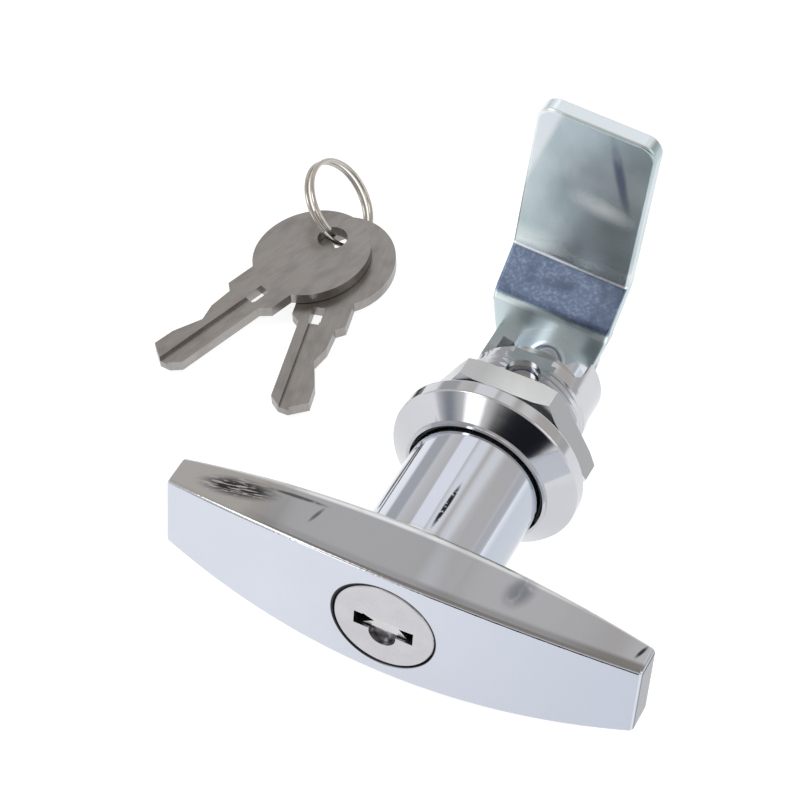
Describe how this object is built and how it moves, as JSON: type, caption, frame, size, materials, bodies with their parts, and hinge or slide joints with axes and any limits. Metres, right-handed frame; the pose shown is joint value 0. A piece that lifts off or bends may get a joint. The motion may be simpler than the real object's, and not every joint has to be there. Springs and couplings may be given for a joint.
{
  "type": "t-handle lock",
  "caption": "Chrome T-handle cam lock for a panel door: bowed grip with a key lock in its face, round shaft, conical collar, threaded tail with nut, and a cranked cam behind.",
  "frame": {"origin": "on the shaft's axis, in the plane where the back of the collar seats on the panel", "axes": "+Y along the shaft from the handle to the cam, +Z the way the cam points at rest, +X to the right as seen from the handle, along the handle bar"},
  "size_m": [0.0944, 0.0866, 0.0581],
  "materials": {
    "chrome_collar": "bright chrome plating",
    "chrome_nut": "bright chrome plating",
    "chrome_handle": "bright chrome plating over a cast body",
    "gasket_rubber": "matt black rubber",
    "seal_rubber": "matt black rubber",
    "spring_steel": "plain spring steel",
    "zinc_plate": "bright zinc plating",
    "zinc_cam": "blue zinc plating",
    "plug_face": "satin nickel plating",
    "shutter_steel": "satin stainless steel",
    "brass_inner": "plain brass",
    "steel_inner": "ground steel",
    "key_nickel": "nickel plated brass, slightly worn",
    "ring_steel": "bright nickel plated spring wire"
  },
  "bodies": {
    "housing": {"housing": "chrome_collar", "hex_nut": "chrome_nut", "panel_gasket": "gasket_rubber"},
    "handle": {"t_handle": "chrome_handle", "shaft_seal": "seal_rubber", "shaft_circlip": "spring_steel", "stop_plate": "zinc_plate", "cam": "zinc_cam", "flat_washer": "zinc_plate", "spring_washer": "spring_steel", "cam_screw": "zinc_plate"},
    "plug": {"lock_plug": "plug_face", "plug_retainer": "brass_inner", "drive_spindle": "steel_inner", "wafer_springs": "spring_steel"},
    "shutter": {"keyway_shutter": "shutter_steel"},
    "bolt": {"locking_bolt": "steel_inner"},
    "wafer_1": {"wafer_1": "brass_inner"},
    "wafer_2": {"wafer_2": "brass_inner"},
    "wafer_3": {"wafer_3": "brass_inner"},
    "wafer_4": {"wafer_4": "brass_inner"},
    "wafer_5": {"wafer_5": "brass_inner"},
    "wafer_6": {"wafer_6": "brass_inner"},
    "ring": {"key_ring": "ring_steel"},
    "key_1": {"key_1": "key_nickel"},
    "key_2": {"key_2": "key_nickel"}
  },
  "joints": [
    {"name": "handle_turn", "type": "hinge", "parent": "housing", "child": "handle", "pos_m": [0, 0, 0], "axis": [0, 1, 0], "range_deg": [0, 90]},
    {"name": "key_turn", "type": "hinge", "parent": "handle", "child": "plug", "pos_m": [0, -0.0354, 0], "axis": [0, 1, 0], "range_deg": [0, 90]},
    {"name": "bolt_slide", "type": "slide", "parent": "handle", "child": "bolt", "axis": [0, 0, 1], "range_m": [0, 0.0011]},
    {"name": "shutter_hinge", "type": "hinge", "parent": "plug", "child": "shutter", "pos_m": [0, -0.03445, 0.0015], "axis": [1, 0, 0], "range_deg": [0, 90], "stiffness_Nm_per_rad": 0.00005, "springref_deg": -17.19},
    {"name": "wafer_1_slide", "type": "slide", "parent": "plug", "child": "wafer_1", "axis": [1, 0, 0], "range_m": [0, 0.0006]},
    {"name": "wafer_2_slide", "type": "slide", "parent": "plug", "child": "wafer_2", "axis": [1, 0, 0], "range_m": [0, 0.0006]},
    {"name": "wafer_3_slide", "type": "slide", "parent": "plug", "child": "wafer_3", "axis": [1, 0, 0], "range_m": [0, 0.0006]},
    {"name": "wafer_4_slide", "type": "slide", "parent": "plug", "child": "wafer_4", "axis": [1, 0, 0], "range_m": [0, 0.0006]},
    {"name": "wafer_5_slide", "type": "slide", "parent": "plug", "child": "wafer_5", "axis": [1, 0, 0], "range_m": [0, 0.0006]},
    {"name": "wafer_6_slide", "type": "slide", "parent": "plug", "child": "wafer_6", "axis": [1, 0, 0], "range_m": [0, 0.0006]},
    {"name": "key_ring_lift", "type": "slide", "parent": "housing", "child": "ring", "axis": [0, 0, 1], "range_m": [0, 0.1]},
    {"name": "key_1_swivel", "type": "hinge", "parent": "ring", "child": "key_1", "pos_m": [-0.04348, 0.03708, -0.0105], "axis": [-0.0859, -0.0555, 0.9948], "range_deg": [-4, 4]},
    {"name": "key_2_swivel", "type": "hinge", "parent": "ring", "child": "key_2", "pos_m": [-0.04175, 0.039, -0.01215], "axis": [-0.0859, -0.0555, 0.9948], "range_deg": [-4, 4]}
  ],
  "couplings": [
    {"joint": "bolt_slide", "follows": "key_turn", "m_per_rad": 0.00070028},
    {"joint": "wafer_2_slide", "follows": "wafer_1_slide", "ratio": 1},
    {"joint": "wafer_3_slide", "follows": "wafer_1_slide", "ratio": 1},
    {"joint": "wafer_4_slide", "follows": "wafer_1_slide", "ratio": 1},
    {"joint": "wafer_5_slide", "follows": "wafer_1_slide", "ratio": 1},
    {"joint": "wafer_6_slide", "follows": "wafer_1_slide", "ratio": 1}
  ]
}
